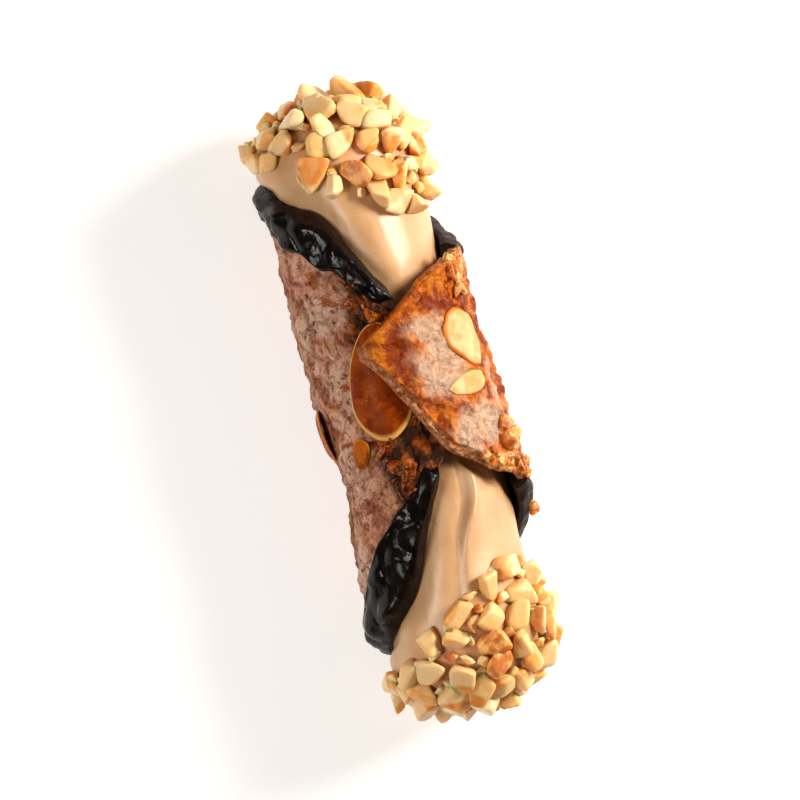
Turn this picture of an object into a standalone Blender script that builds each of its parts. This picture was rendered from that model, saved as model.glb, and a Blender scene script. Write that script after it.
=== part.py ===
"""A filled cannolo lying on its back with the seam of its shell up.

The shell is one almond wafer, rolled a turn and a fifth about the X axis, so that its last corner laps over its
first. Its rims are dipped in dark chocolate, which also lines its inside. Hazelnut cream fills it from end to end
and swells out of both mouths, and chopped nuts crust each end. Almond flakes are baked onto the wafer.

Run it with blender --background --python part.py, or from Blender's text editor. Metres, +Z up. The origin is at
the bottom centre of the object's box, and the shell stands on a narrow flat strip under its back.
"""

import math
import random

import bmesh
import bpy
import numpy as np
from mathutils import Vector, noise
from mathutils.bvhtree import BVHTree

MM = 0.001
GAP = 0.3 * MM  # clearance between neighbouring pieces

# Wafer. "Rolled" is the angle in degrees from its hidden corner, which lies START degrees from straight up, towards
# +Y, and the sheet rolls from there over the top towards -Y.
WAFER_THICKNESS = 2.2 * MM
ROLL_START = 55.0
ROLL_TURN = 434.0
ROLL_STEPS = 48
AXIS_HEIGHT = 17.3 * MM  # a little under the radius, so that the underside is flat where it rests
# (rolled, radius of the outer face in mm): the last fifth lifts clear of the first one, which it covers
ROLL_RADII = ((0, 17.1), (90, 17.7), (200, 17.9), (325, 19.2), (360, 19.9), (400, 20.9), (434, 21.3))
# (rolled, rim at the left end, rim at the right end in mm): a square with rounded corners, seen unrolled
SHEET_OUTLINE = (
    (0, -7, 3),
    (12, -12, 8),
    (40, -18.5, 13),
    (54, -24.5, 19.5),
    (65, -30.5, 25),
    (78, -37, 32),
    (92, -39.8, 37.5),
    (108, -42, 41),
    (145, -47, 46),
    (185, -50.5, 49.5),
    (220, -50, 49.5),
    (255, -44.5, 44),
    (290, -34.5, 33),
    (325, -28, 24.5),
    (345, -26, 20),
    (370, -24.3, 17.8),
    (387, -21.9, 14.3),
    (400, -19.2, 11),
    (412, -16.5, 3),
    (424, -14, -4.5),
    (434, -12.2, -9.6),
)
LUMP_DEPTH = 0.9 * MM
LUMP_SIZE = 7.0 * MM
UNDERSIDE_TAPER = 1.6 * MM  # how far the ends of the back rise off the table
SIDE_FLARE = 1.0 * MM  # how far the right mouth opens towards -Y
# Where the open side is pressed in, or out if negative: (x, reach along x, depth) in mm
PINCHES = ((-36, 9, 1.1), (-20, 6, -0.4), (13, 9, 1.4))
PINCH_MIDDLE, PINCH_REACH = 140, 34  # degrees rolled
FLAP_SKEW = 0.7 * MM  # how much the side that the flap comes over from stands out to the right, and in to the left
FACE_SHARES = (0.8, 0.6)  # of the way to the rim: where the inside of the wafer, its lining and the cream have points

# Chocolate, along the part of the wafer's rim that is open at the mouths
LINING = 0.8 * MM
COAT_START = 48.0
COAT_END = 336.0
COAT_NOSE = 1.3 * MM  # how far it stands past the wafer's rim
COAT_BULGE = 1.1 * MM  # how thick it is on the outside
# (rolled, length of the outside band in mm), the same at both ends
COAT_BANDS = ((48, 2.5), (65, 6), (85, 10), (110, 8), (130, 4.5), (160, 5.5), (210, 4), (290, 5), (320, 3.5), (336, 2))

# Cream
SEAM_ANGLE = 15.0  # where the two mouths' notches are lowest, in degrees from straight up
SWELL_RADIUS = 15.8 * MM
SWELL_SIDE = 1.1 * MM  # fuller towards -Y, and slighter by as much towards +Y
SWELL_UNDER = 1.9 * MM  # slighter underneath
SWELL_RUNS = (2.5 * MM, 8.0 * MM)  # how far past the rim it takes to swell, under the shell and at the seam
DOME_TIP = 61.3 * MM
DOME_POWER = 2.3
DOME_RUNS = (0.15, 0.36, 0.56, 0.78, 1.0)
CREAM_ANGLES = range(-180, 180, 12)
# (degrees from straight up, towards +Y; distances from the middle in mm of the dome's foot and the nuts' edge)
END_OUTLINE = (
    (-180, 53.7, 52.8),
    (-130, 53.5, 52.6),
    (-90, 50.5, 49.6),
    (-41, 48.5, 47.6),
    (-6, 47.5, 42.5),
    (20, 47, 37),
    (66, 47, 36),
    (100, 47.5, 40),
    (140, 50.5, 47),
    (180, 53.7, 52.8),
)
FOLD_HEIGHT = 1.1 * MM
FOLD_WIDTH = 7.0 * MM
# (along the axis in mm, degrees from straight up): the fold that the piping left in the right mouth's cream
FOLD_LINE = ((14, 19), (18.3, 29), (23.2, 26.5), (28.5, 15), (34.3, 9.5), (42, 1.5))

# Chopped nuts
NUT_BED = 1.0 * MM
NUT_RISE = 1.3 * MM  # of a nut's middle over the cream
NUT_HALF = ((2.8, 3.7), (2.2, 2.9), (1.6, 2.1))  # ranges of a nut's half length, width and thickness in mm
NUT_SPACING = 4.7 * MM
NUT_CORNERS = 6
NUT_CROWDING = 0.6 * MM
NUT_TRIES = 2500
NUT_SEEDS = {"left": 11, "right": 4}
CRUST_SPAN = math.radians(120)  # the crust is laid out on this much of a unit sphere to join its points into faces

# Almond flakes
FLAKE_THICKNESS = 0.8 * MM
FLAKE_RINGS = (0.12, 0.56, 1.0)
FLAKE_SPOKES = 12
# name: (along the axis in mm, degrees rolled, turn of its long side from the axis in degrees, length and width
# in mm, how far its upper side stands off the wafer in mm)
FLAKES = {
    "flake_front": (-4.8, 67, 192, 23.5, 13.5, 0.0),
    "flake_front_low": (8.2, 95, 20, 6.5, 4.4, 0.0),
    "flake_flap": (-8.8, 366, -22, 12.5, 9.0, 0.0),
    "flake_flap_low": (0.2, 374, 85, 9.0, 4.4, 0.0),
    "flake_side": (2.8, 137, 8, 10.5, 7.5, 1.6),
    "flake_back_left": (-27.0, 186, 35, 17.0, 10.5, 0.0),
    "flake_back_right": (25.0, 176, -40, 16.5, 10.5, 0.0),
    "flake_back_flap": (7.0, 290, 25, 17.0, 10.5, 0.0),
}


# ---------------------------------------------------------------- curves and meshes


def through(points, at):
    """The value at a place on the smooth curve through (place, value) points."""
    places, values = np.array([(p[0], p[1]) for p in points], float).T
    slopes = np.gradient(values, places)
    at = np.clip(at, places[0], places[-1])
    i = np.clip(np.searchsorted(places, at) - 1, 0, len(places) - 2)
    span = places[i + 1] - places[i]
    t = (at - places[i]) / span
    return (
        (2 * t**3 - 3 * t**2 + 1) * values[i]
        + (t**3 - 2 * t**2 + t) * span * slopes[i]
        + (3 * t**2 - 2 * t**3) * values[i + 1]
        + (t**3 - t**2) * span * slopes[i + 1]
    )


def ease(t):
    """0 below 0, 1 above 1, and smooth between."""
    t = min(max(t, 0.0), 1.0)
    return t * t * (3 - 2 * t)


def around(x, radius, angle):
    """The point at a distance along the axis, a radius and an angle in degrees from straight up, towards +Y."""
    turn = math.radians(angle)
    return Vector((x, radius * math.sin(turn), AXIS_HEIGHT + radius * math.cos(turn)))


def finish(name, bm, sharp, material):
    """Makes an object of a closed mesh, faces outwards, shaded smooth but for edges sharper than an angle."""
    bmesh.ops.recalc_face_normals(bm, faces=bm.faces)
    if bm.calc_volume(signed=True) < 0:
        bmesh.ops.reverse_faces(bm, faces=bm.faces)
    mesh = bpy.data.meshes.new(name)
    bm.to_mesh(mesh)
    bm.free()
    mesh.shade_smooth()
    mesh.set_sharp_from_angle(angle=math.radians(sharp))
    mesh.materials.append(material)
    obj = bpy.data.objects.new(name, mesh)
    bpy.context.scene.collection.objects.link(obj)
    return obj


def loft(name, rings, material):
    """A closed solid: quads between neighbouring rings of points, and a face over each end."""
    bm = bmesh.new()
    rows = [[bm.verts.new(p) for p in ring] for ring in rings]
    count = len(rows[0])
    for low, high in zip(rows, rows[1:]):
        for i in range(count):
            j = (i + 1) % count
            bm.faces.new((low[i], low[j], high[j], high[i]))
    bm.faces.new(rows[0])
    bm.faces.new(rows[-1])
    return finish(name, bm, 50, material)


def food(name, colour, roughness):
    material = bpy.data.materials.new(name)
    material.use_nodes = True
    shader = material.node_tree.nodes["Principled BSDF"]
    shader.inputs["Base Color"].default_value = (*colour, 1.0)
    shader.inputs["Roughness"].default_value = roughness
    shader.inputs["Metallic"].default_value = 0.0
    return material


# ---------------------------------------------------------------- the rolled sheet


def sheet_angle(rolled):
    return ROLL_START - rolled


def left_rim(rolled):
    return through([(r, left) for r, left, _ in SHEET_OUTLINE], rolled) * MM


def right_rim(rolled):
    return through([(r, right) for r, _, right in SHEET_OUTLINE], rolled) * MM


def pinched(rolled, x):
    """How far the open side is pressed in, which makes its outline wavy along the roll."""
    along = sum(deep * math.exp(-(((x / MM - middle) / reach) ** 2)) for middle, reach, deep in PINCHES)
    return along * MM * math.exp(-(((rolled - PINCH_MIDDLE) / PINCH_REACH) ** 2))


def roll_radius(rolled, x):
    """The wafer's outer face, before its lumps: a spiral, less round towards its ends."""
    turn = math.radians(sheet_angle(rolled))
    near_end = ease((abs(x) / MM - 14) / 32)
    taper = UNDERSIDE_TAPER * max(0.0, -math.cos(turn)) ** 2
    flare = SIDE_FLARE * max(0.0, -math.sin(turn)) ** 2 * (1.0 if x > 0 else 0.4)
    by_flap = ease((rolled - 265) / 50) * ease((390 - rolled) / 50)
    skew = FLAP_SKEW * by_flap * math.sin(max(-1.0, min(1.0, x / MM / 24)) * math.pi / 2)
    return through(ROLL_RADII, rolled) * MM + near_end * (flare - taper) + skew - pinched(rolled, x)


def lump(rolled, x):
    """How far a lump lowers the outer face: none by the chocolate, under the flap or on the strip it rests on."""
    arc = math.radians(rolled) * roll_radius(rolled, x)
    wave = noise.noise(Vector((x / LUMP_SIZE, arc / LUMP_SIZE, 0.0)))
    from_rim = min(x - left_rim(rolled), right_rim(rolled) - x) / MM
    coated = COAT_START <= rolled <= COAT_END
    fade = ease((from_rim - 9) / 4) if coated else ease(from_rim / 3)
    lapped = ease((rolled - 50) / 40)
    resting = ease((1 + math.cos(math.radians(sheet_angle(rolled)))) / 0.12)
    return LUMP_DEPTH * (0.5 + 0.5 * wave) * fade * lapped * resting


def sheet_point(rolled, x, depth, lumped=False):
    """A point on the rolled sheet. Depth is 0 on its outer face and positive outside it. Nothing is under the table."""
    radius = roll_radius(rolled, x) + depth
    if lumped:
        radius -= lump(rolled, x)
    point = around(x, radius, sheet_angle(rolled))
    point.z = max(point.z, 0.0)
    return point


def wafer_section(rolled, face_steps=12):
    """The sheet cut across at one angle: outer face, rounded right rim, inner face, rounded left rim."""
    left, right = left_rim(rolled), right_rim(rolled)
    round_in = min(0.6 * MM, (right - left) / 6)
    outer = [(x, 0.0, True) for x in np.linspace(left + round_in, right - round_in, face_steps)]
    shoulder, heel = -0.25 * WAFER_THICKNESS, -0.75 * WAFER_THICKNESS
    inside = [right - round_in, *(right * s for s in FACE_SHARES), 0.0]
    inside += [*(left * s for s in reversed(FACE_SHARES)), left + round_in]
    inner = [(x, -WAFER_THICKNESS, False) for x in inside]
    rims = [[(right, shoulder, False), (right, heel, False)], [(left, heel, False), (left, shoulder, False)]]
    profile = outer + rims[0] + inner + rims[1]
    return [sheet_point(rolled, x, depth, lumped) for x, depth, lumped in profile]


def roll_stations(first=0.0, last=ROLL_TURN):
    """Angles rolled, evenly spaced, that the wafer and the chocolate share, so that their facets lie parallel."""
    every = np.linspace(0, ROLL_TURN, ROLL_STEPS + 1)
    return [float(r) for r in every if first <= r <= last]


def make_wafer():
    sections = [wafer_section(r) for r in roll_stations()]
    return loft("shell", sections, food("wafer", (0.43, 0.16, 0.05), 0.4))


# ---------------------------------------------------------------- chocolate


def coat_edge(rim, outwards, band, bulge):
    """The coat around one rim as (x, depth) points: its outside, from the band's end over the nose to the lining,
    and the side that faces the wafer, from the lining back to the band's end. Outwards is -1 at the left end."""
    inner = -WAFER_THICKNESS
    outside = [
        (band, GAP + 0.35 * bulge),
        (0.65 * band, GAP + bulge),
        (0.0, GAP + bulge),
        (-COAT_NOSE, 0.0),
        (-COAT_NOSE, inner - GAP),
        (0.0, inner - GAP - LINING),
    ]
    facing = [(-GAP, inner - GAP), (-GAP, GAP), (band, GAP)]
    return [[(rim - outwards * along, depth) for along, depth in side] for side in (outside, facing)]


def coat_section(rolled):
    """The chocolate cut across at one angle: both coats, joined by the lining along the inside of the wafer."""
    band = through(COAT_BANDS, rolled) * MM
    fade = ease((rolled - COAT_START) / 12) * ease((COAT_END - rolled) / 12)
    drip = 0.35 * noise.noise(Vector((rolled / 9, 3.7, 0.0)))
    bulge = COAT_BULGE * (0.35 + 0.65 * fade) * (1 + drip)
    under = max(0.0, -math.cos(math.radians(sheet_angle(rolled)))) ** 2
    bulge = max(bulge * (1 - 0.55 * under), 0.3 * MM)
    left_out, left_in = coat_edge(left_rim(rolled), -1, band, bulge)
    right_out, right_in = coat_edge(right_rim(rolled), 1, band, bulge)
    inside = [left_rim(rolled) * share for share in FACE_SHARES] + [0.0]
    inside += [right_rim(rolled) * share for share in reversed(FACE_SHARES)]
    lining_in = [(x, -WAFER_THICKNESS - GAP - LINING) for x in inside]
    lining_out = [(x, -WAFER_THICKNESS - GAP) for x in reversed(inside)]
    profile = left_out + lining_in + right_out[::-1] + right_in[::-1] + lining_out + left_in
    return [sheet_point(rolled, x, depth) for x, depth in profile]


def make_chocolate():
    sections = [coat_section(r) for r in roll_stations(COAT_START, COAT_END)]
    return loft("chocolate", sections, food("dark_chocolate", (0.014, 0.007, 0.005), 0.25))


# ---------------------------------------------------------------- cream


def rolled_at(angle):
    """The angle rolled of the layer that frames the mouths at an angle from straight up."""
    return ROLL_START - SEAM_ANGLE + (SEAM_ANGLE - angle) % 360


def covered_radius(rolled, x):
    """The cream inside the shell, clear of the lining and of the hidden corner, which stands further in."""
    step_in = ease((rolled - 308) / 30)
    outer = roll_radius(rolled, x) * (1 - step_in) + roll_radius(COAT_START, x) * step_in
    return outer - WAFER_THICKNESS - LINING - 2.3 * GAP


def fold(angle, x):
    """The height of the fold in the right mouth's cream: a steep step along a line, easing off away from it."""
    start, end = FOLD_LINE[0][0] * MM, FOLD_LINE[-1][0] * MM
    away = math.radians(angle - through(FOLD_LINE, x / MM)) * SWELL_RADIUS
    if abs(angle) > 90 or away < 0:
        return 0.0
    step = ease(away / (1.2 * MM)) * math.exp(-away / FOLD_WIDTH)
    return FOLD_HEIGHT * step * ease((x - start) / (4 * MM)) * ease((end - x) / (12 * MM))


def cream_radius(angle, x):
    """The cream's surface, without the domes at its ends."""
    rolled = rolled_at(angle)
    past_rim = x - right_rim(rolled) if x > 0 else left_rim(rolled) - x
    at_seam = max(0.0, math.cos(math.radians(angle - SEAM_ANGLE)))
    run = SWELL_RUNS[0] * (1 - at_seam) + SWELL_RUNS[1] * at_seam
    out = ease((past_rim - COAT_NOSE - GAP) / run)
    turn = math.radians(angle)
    swollen = SWELL_RADIUS - SWELL_SIDE * math.sin(turn) - SWELL_UNDER * max(0.0, -math.cos(turn)) ** 2
    covered = covered_radius(rolled, x)
    return covered + (swollen - covered) * out + fold(angle, x) * out


def cream_point(angle, x, extra=0.0):
    return around(x, cream_radius(angle, x) + extra, angle)


def dome_foot(angle):
    return through([(a, foot) for a, foot, _ in END_OUTLINE], angle) * MM


def nut_edge(angle):
    return through([(a, edge) for a, _, edge in END_OUTLINE], angle) * MM


def dome_point(angle, side, run, extra=0.0):
    """A point on the dome over one end. Run is 0 at its tip and 1 where it meets the column of cream."""
    turn = math.radians(90 * run)
    along = math.cos(turn) ** (2 / DOME_POWER)
    across = math.sin(turn) ** (2 / DOME_POWER)
    foot = dome_foot(angle)
    base = cream_radius(angle, side * foot)
    return around(side * (foot + (DOME_TIP + extra - foot) * along), (base + extra) * across, angle)


def mouth_stations(angle, side):
    """Places along the column of cream from the dome to the middle. They follow the rim of the mouth."""
    rolled = rolled_at(angle)
    rim = right_rim(rolled) if side > 0 else -left_rim(rolled)
    nose = rim + COAT_NOSE + GAP
    edge = nut_edge(angle)
    beyond = [edge, nose + 0.5 * (edge - nose), nose + 0.2 * (edge - nose), nose]
    return [side * x for x in beyond] + [side * rim * share for share in FACE_SHARES]


def make_cream():
    halves = []
    for side in (-1, 1):
        domed = [[dome_point(a, side, run) for a in CREAM_ANGLES] for run in DOME_RUNS]
        stations = [mouth_stations(a, side) for a in CREAM_ANGLES]
        column = [[cream_point(a, x) for a, x in zip(CREAM_ANGLES, places)] for places in zip(*stations)]
        halves.append(domed + column)
    middle = [[cream_point(a, 0.0) for a in CREAM_ANGLES]]
    return loft("cream", halves[0] + middle + halves[1][::-1], food("hazelnut_cream", (0.72, 0.47, 0.26), 0.45))


# ---------------------------------------------------------------- chopped nuts


def crust_point(angle, side, run, extra=0.0):
    """A point on the nut-covered end: run is 0 at the tip, 1 at the foot of the dome, 2 at the crust's edge."""
    if run <= 1:
        return dome_point(angle, side, run, extra)
    foot, edge = dome_foot(angle), nut_edge(angle)
    return cream_point(angle, side * (foot + (edge - foot) * (run - 1)), extra)


def ends_at_foot(angle):
    """Whether the crust stops where the dome does, as it does everywhere but by the seam."""
    return dome_foot(angle) - nut_edge(angle) < 2 * MM


def scatter_nuts(side, seed):
    """Places for nuts, no two closer than the spacing: (angle, run, size) of each."""
    draw = random.Random(seed)
    found, middles = [], []
    for _ in range(NUT_TRIES):
        angle = draw.uniform(-180, 180)
        run = draw.uniform(0.04, 0.86 if ends_at_foot(angle) else 1.85)
        size = draw.uniform(0.85, 1.2)
        middle = crust_point(angle, side, run, NUT_RISE)
        clear = NUT_SPACING * (0.55 + 0.4 * size)
        if all((middle - other).length > clear for other in middles):
            found.append((angle, run, size))
            middles.append(middle)
    return found


def laid_out(angle, run):
    """A place on the crust as a point of the unit sphere."""
    polar, turn = CRUST_SPAN * run / 2, math.radians(angle)
    return Vector((math.sin(polar) * math.sin(turn), math.sin(polar) * math.cos(turn), math.cos(polar)))


def raised(place, side, extra):
    """The point of the crust that a point of the unit sphere stands for, at a height over the cream."""
    angle = math.degrees(math.atan2(place.x, place.y))
    run = 2 * math.acos(max(-1.0, min(1.0, place.z))) / CRUST_SPAN
    point = crust_point(angle, side, run, extra)
    point.z = max(point.z, GAP)
    return point


def nut_tops(places, side, draw):
    """The corners of every nut's top and the feet of its sides, as (place on the unit sphere, height) points."""
    middles = [raised(place, side, 0.0) for place, _ in places]
    tops, feet = [], []
    for (place, size), middle in zip(places, middles):
        tangents = [place.orthogonal().normalized()]
        tangents.append(place.cross(tangents[0]))
        steps = [raised((place + t * 0.02).normalized(), side, 0.0) - middle for t in tangents]
        scales = [step.length / 0.02 for step in steps]
        flat = [Vector([(other - middle).dot(step.normalized()) for step in steps]) for other in middles]
        near = [v for v in flat if 0.0 < v.length < 3 * NUT_SPACING]
        long_half, short_half = (draw.uniform(*pair) * size * MM for pair in NUT_HALF[:2])
        height = NUT_RISE + draw.uniform(*NUT_HALF[2]) * size * MM
        first, long_way, high_way = (draw.uniform(0, math.tau) for _ in range(3))
        for corner in range(NUT_CORNERS):
            way = first + math.tau * (corner + draw.uniform(-0.25, 0.25)) / NUT_CORNERS
            towards = Vector((math.cos(way), math.sin(way)))
            meeting = min(v.length_squared / (2 * max(v.dot(towards), 1e-6)) for v in near)
            half = math.hypot(math.cos(way - long_way) * long_half, math.sin(way - long_way) * short_half)
            reach = min(half, 0.72 * meeting)
            tipped = height + 0.5 * MM * math.cos(way - high_way)
            for kept, out, lift in ((tops, reach, tipped), (feet, min(reach + 0.8 * MM, meeting), NUT_BED)):
                moved = place + sum((t * a * out / s for t, a, s in zip(tangents, towards, scales)), Vector())
                kept.append((moved.normalized(), GAP + lift))
    return tops + feet


def crust_points(side, seed):
    """The outer points of the crust, none crowding another, as (place on the unit sphere, point)."""
    places = [(laid_out(angle, run), size) for angle, run, size in scatter_nuts(side, seed)]
    rims = [(angle, 2) for angle in CREAM_ANGLES] + [(angle, 1) for angle in CREAM_ANGLES if ends_at_foot(angle)]
    edge = [(laid_out(angle, run), GAP + NUT_BED) for angle, run in rims]
    kept = []
    for place, height in edge + nut_tops(places, side, random.Random(seed + 100)):
        foot = raised(place, side, 0.0)
        inside = place.z > math.cos(CRUST_SPAN * 0.95) or len(kept) < len(edge)
        if inside and all((foot - other).length > NUT_CROWDING for _, other, _ in kept):
            kept.append((place, foot, raised(place, side, height)))
    return [(place, point) for place, _, point in kept]


def make_nut_crust(name, side):
    """The nuts over one end as one solid: flat-topped blocks and the dips between them, over a smooth inside."""
    bm = bmesh.new()
    outer = crust_points(side, NUT_SEEDS[name.removeprefix("nuts_")])
    verts = [bm.verts.new(place) for place, _ in outer]
    pole = bm.verts.new((0.0, 0.0, -1.0))
    bmesh.ops.convex_hull(bm, input=verts + [pole])
    bm.verts.remove(pole)
    for vert, (_, point) in zip(verts, outer):
        vert.co = point
    below = verts[: len(CREAM_ANGLES)]
    for run in (2,) + DOME_RUNS[::-1]:
        ring = [bm.verts.new(crust_point(a, side, run, GAP)) for a in CREAM_ANGLES]
        for i in range(len(ring)):
            bm.faces.new((below[i - 1], below[i], ring[i], ring[i - 1]))
        below = ring
    bm.faces.new(below)
    return finish(name, bm, 28, food(name, (0.79, 0.55, 0.27), 0.42))


# ---------------------------------------------------------------- almond flakes


def flake_outline(spoke):
    """An almond's outline as (along, across) shares of its half length and half width: blunt at one end."""
    turn = math.tau * spoke / FLAKE_SPOKES
    return math.cos(turn), math.sin(turn) * (1 - 0.22 * math.cos(turn))


def wafer_face(surface, x, rolled):
    """The radius of the wafer's outer face as meshed, measured from just above this layer."""
    angle = sheet_angle(rolled)
    above = roll_radius(rolled, x) + 0.6 * MM
    start = around(x, above, angle)
    inwards = around(x, 0.0, angle) - start
    _, _, _, distance = surface.ray_cast(start, inwards.normalized(), 4 * MM)
    return above - (distance if distance is not None else 0.6 * MM)


def make_flake(name, surface, material):
    x, rolled, turn, length, width, lifted = FLAKES[name]
    long_side = math.radians(turn)
    layers = []
    for lift in (GAP + 0.1 * MM, GAP + 0.1 * MM + FLAKE_THICKNESS):
        rings = []
        for share in FLAKE_RINGS:
            points = []
            for spoke in range(FLAKE_SPOKES):
                along, across = flake_outline(spoke)
                along *= share * length / 2
                across *= share * width / 2
                at_x = x + along * math.cos(long_side) - across * math.sin(long_side)
                arc = along * math.sin(long_side) + across * math.cos(long_side)
                at_roll = rolled + math.degrees(arc * MM / roll_radius(rolled, x * MM))
                radius = wafer_face(surface, at_x * MM, at_roll) + lift
                radius += lifted * MM * max(0.0, (rolled - at_roll) / 13) ** 1.5
                points.append(around(at_x * MM, radius, sheet_angle(at_roll)))
            rings.append(points)
        layers.append(rings)
    lower, upper = layers
    return loft(name, lower + upper[::-1], material)


def make_flakes(wafer):
    graph = bpy.context.evaluated_depsgraph_get()
    surface = BVHTree.FromObject(wafer, graph)
    material = food("almond_flake", (0.52, 0.22, 0.05), 0.3)
    for name in FLAKES:
        make_flake(name, surface, material)


# ---------------------------------------------------------------- the whole


def centre_on_origin():
    """Moves everything along X and Y so that the object's box is centred over the origin."""
    graph = bpy.context.evaluated_depsgraph_get()
    shown = [o for o in bpy.context.scene.objects if not o.hide_render]
    corners = np.array([Vector(c) for o in shown for c in o.evaluated_get(graph).bound_box])
    middle = (corners.min(axis=0) + corners.max(axis=0)) / 2
    for obj in bpy.context.scene.objects:
        obj.location = (-middle[0], -middle[1], 0.0)


def main():
    for obj in list(bpy.data.objects):
        bpy.data.objects.remove(obj)
    wafer = make_wafer()
    make_chocolate()
    make_cream()
    make_nut_crust("nuts_left", -1)
    make_nut_crust("nuts_right", 1)
    bpy.context.view_layer.update()
    make_flakes(wafer)
    bpy.context.view_layer.update()
    centre_on_origin()


main()
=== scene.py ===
"""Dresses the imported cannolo: a rolled almond wafer dipped in dark chocolate, filled with hazelnut cream, with
chopped nuts at both ends.

Lengths are in millimetres in the roll's own frame, X along the roll and Z up, until build() turns them into the
frame's metres. A place on the wafer is (rolled, x, depth): degrees rolled from its hidden corner, millimetres along
the roll, and millimetres outside its outer face.
"""

import math
import random

import bmesh
import bpy
import numpy as np
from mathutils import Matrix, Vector, noise

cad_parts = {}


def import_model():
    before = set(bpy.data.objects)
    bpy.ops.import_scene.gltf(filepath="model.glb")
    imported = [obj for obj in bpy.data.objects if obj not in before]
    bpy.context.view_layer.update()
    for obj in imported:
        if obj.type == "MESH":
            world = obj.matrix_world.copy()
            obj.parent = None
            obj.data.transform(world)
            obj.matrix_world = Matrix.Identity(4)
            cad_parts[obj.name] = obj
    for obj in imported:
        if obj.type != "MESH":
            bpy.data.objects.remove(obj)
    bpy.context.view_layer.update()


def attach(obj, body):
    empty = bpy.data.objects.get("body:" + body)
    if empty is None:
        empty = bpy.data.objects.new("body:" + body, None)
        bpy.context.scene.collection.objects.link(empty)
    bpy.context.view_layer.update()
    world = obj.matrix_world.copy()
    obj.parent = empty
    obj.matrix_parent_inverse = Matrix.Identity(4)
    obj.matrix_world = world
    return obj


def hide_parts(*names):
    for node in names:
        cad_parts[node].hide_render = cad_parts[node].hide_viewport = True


MM = 0.001
AXIS_PLACE = (-0.057, -0.297, 0.0)  # of the roll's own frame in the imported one
AXIS_HEIGHT = 17.3

# The rolled sheet, with the same numbers as its solid
THICKNESS = 2.2
ROLL_START = 55.0
ROLL_TURN = 434.0
ROLL_RADII = ((0, 17.1), (90, 17.7), (200, 17.9), (325, 19.2), (360, 19.9), (400, 20.9), (434, 21.3))
SHEET_OUTLINE = (
    (0, -7, 3),
    (12, -12, 8),
    (40, -18.5, 13),
    (54, -24.5, 19.5),
    (65, -30.5, 25),
    (78, -37, 32),
    (92, -39.8, 37.5),
    (108, -42, 41),
    (145, -47, 46),
    (185, -50.5, 49.5),
    (220, -50, 49.5),
    (255, -44.5, 44),
    (290, -34.5, 33),
    (325, -28, 24.5),
    (345, -26, 20),
    (370, -24.3, 17.8),
    (387, -21.9, 14.3),
    (400, -19.2, 11),
    (412, -16.5, 3),
    (424, -14, -4.5),
    (434, -12.2, -9.6),
)
# Where the open side is pressed in, or out if negative: (x, reach along x, depth)
PINCHES = ((-36, 9, 1.1), (-20, 6, -0.4), (13, 9, 1.4))
COAT_START, COAT_END = 46.0, 338.0
# (rolled, how far the chocolate reaches over the wafer at the left end, at the right end)
COAT_BANDS = (
    (46, 3.0, 3.5),
    (58, 6.5, 6),
    (70, 9, 9),
    (85, 10, 13),
    (100, 8.5, 14),
    (115, 7, 12),
    (130, 5.5, 8),
    (145, 5, 6),
    (165, 5.5, 5.5),
    (210, 4.5, 4.5),
    (290, 5, 5),
    (320, 4, 4.5),
    (338, 2.5, 2.5),
)
NOSE = 1.3
LINING = 0.8
SEAM_ANGLE = 15.0
SWELL_RADIUS = 15.8
SWELL_RUNS = (2.5, 8.0)
DOME_TIP = 61.3
DOME_POWER = 2.3
END_OUTLINE = (
    (-180, 53.7, 52.8),
    (-130, 53.5, 52.6),
    (-90, 50.5, 49.6),
    (-41, 48.5, 47.6),
    (-6, 47.5, 42.5),
    (20, 47, 37),
    (66, 47, 36),
    (100, 47.5, 40),
    (140, 50.5, 47),
    (180, 53.7, 52.8),
)
FOLD_LINE = ((10, 30), (15.7, 31), (22.4, 27.5), (28, 18), (34, 11.5), (40, 7.5), (46, 5))
NUT_RISE = 1.3
NUT_HALF = ((2.8, 3.7), (2.2, 2.9), (1.6, 2.1))
NUT_SPACING = 4.7
NUT_TRIES = 2500
NUT_SEEDS = {"nuts_left": 11, "nuts_right": 4}


# ---------------------------------------------------------------- curves and noise


def through(points, at):
    """The value at a place on the smooth curve through (place, value) points."""
    places, values = np.array([(p[0], p[1]) for p in points], float).T
    slopes = np.gradient(values, places)
    at = np.clip(at, places[0], places[-1])
    i = np.clip(np.searchsorted(places, at) - 1, 0, len(places) - 2)
    span = places[i + 1] - places[i]
    t = (at - places[i]) / span
    return (
        (2 * t**3 - 3 * t**2 + 1) * values[i]
        + (t**3 - 2 * t**2 + t) * span * slopes[i]
        + (3 * t**2 - 2 * t**3) * values[i + 1]
        + (t**3 - t**2) * span * slopes[i + 1]
    )


def ease(t):
    """0 below 0, 1 above 1, and smooth between."""
    t = np.clip(t, 0.0, 1.0)
    return t * t * (3 - 2 * t)


def bell(distance, width):
    return np.exp(-((distance / width) ** 2))


def spots(x, y, z=0.0):
    return np.stack(np.broadcast_arrays(x, y, z), axis=-1).astype(float)


def ripples(places, size, seed=0):
    """Smooth noise in about -1..1 at (..., 3) places, with features of a size in mm."""
    flat = (places / size + 31.7 * seed).reshape(-1, 3)
    return np.array([noise.noise(p) for p in flat.tolist()]).reshape(places.shape[:-1])


def layered(places, size, octaves, seed=0, gain=0.5):
    total, weight = 0.0, 1.0
    for k in range(octaves):
        total = total + weight * ripples(places, size / 2**k, seed + k)
        weight *= gain
    return total


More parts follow.
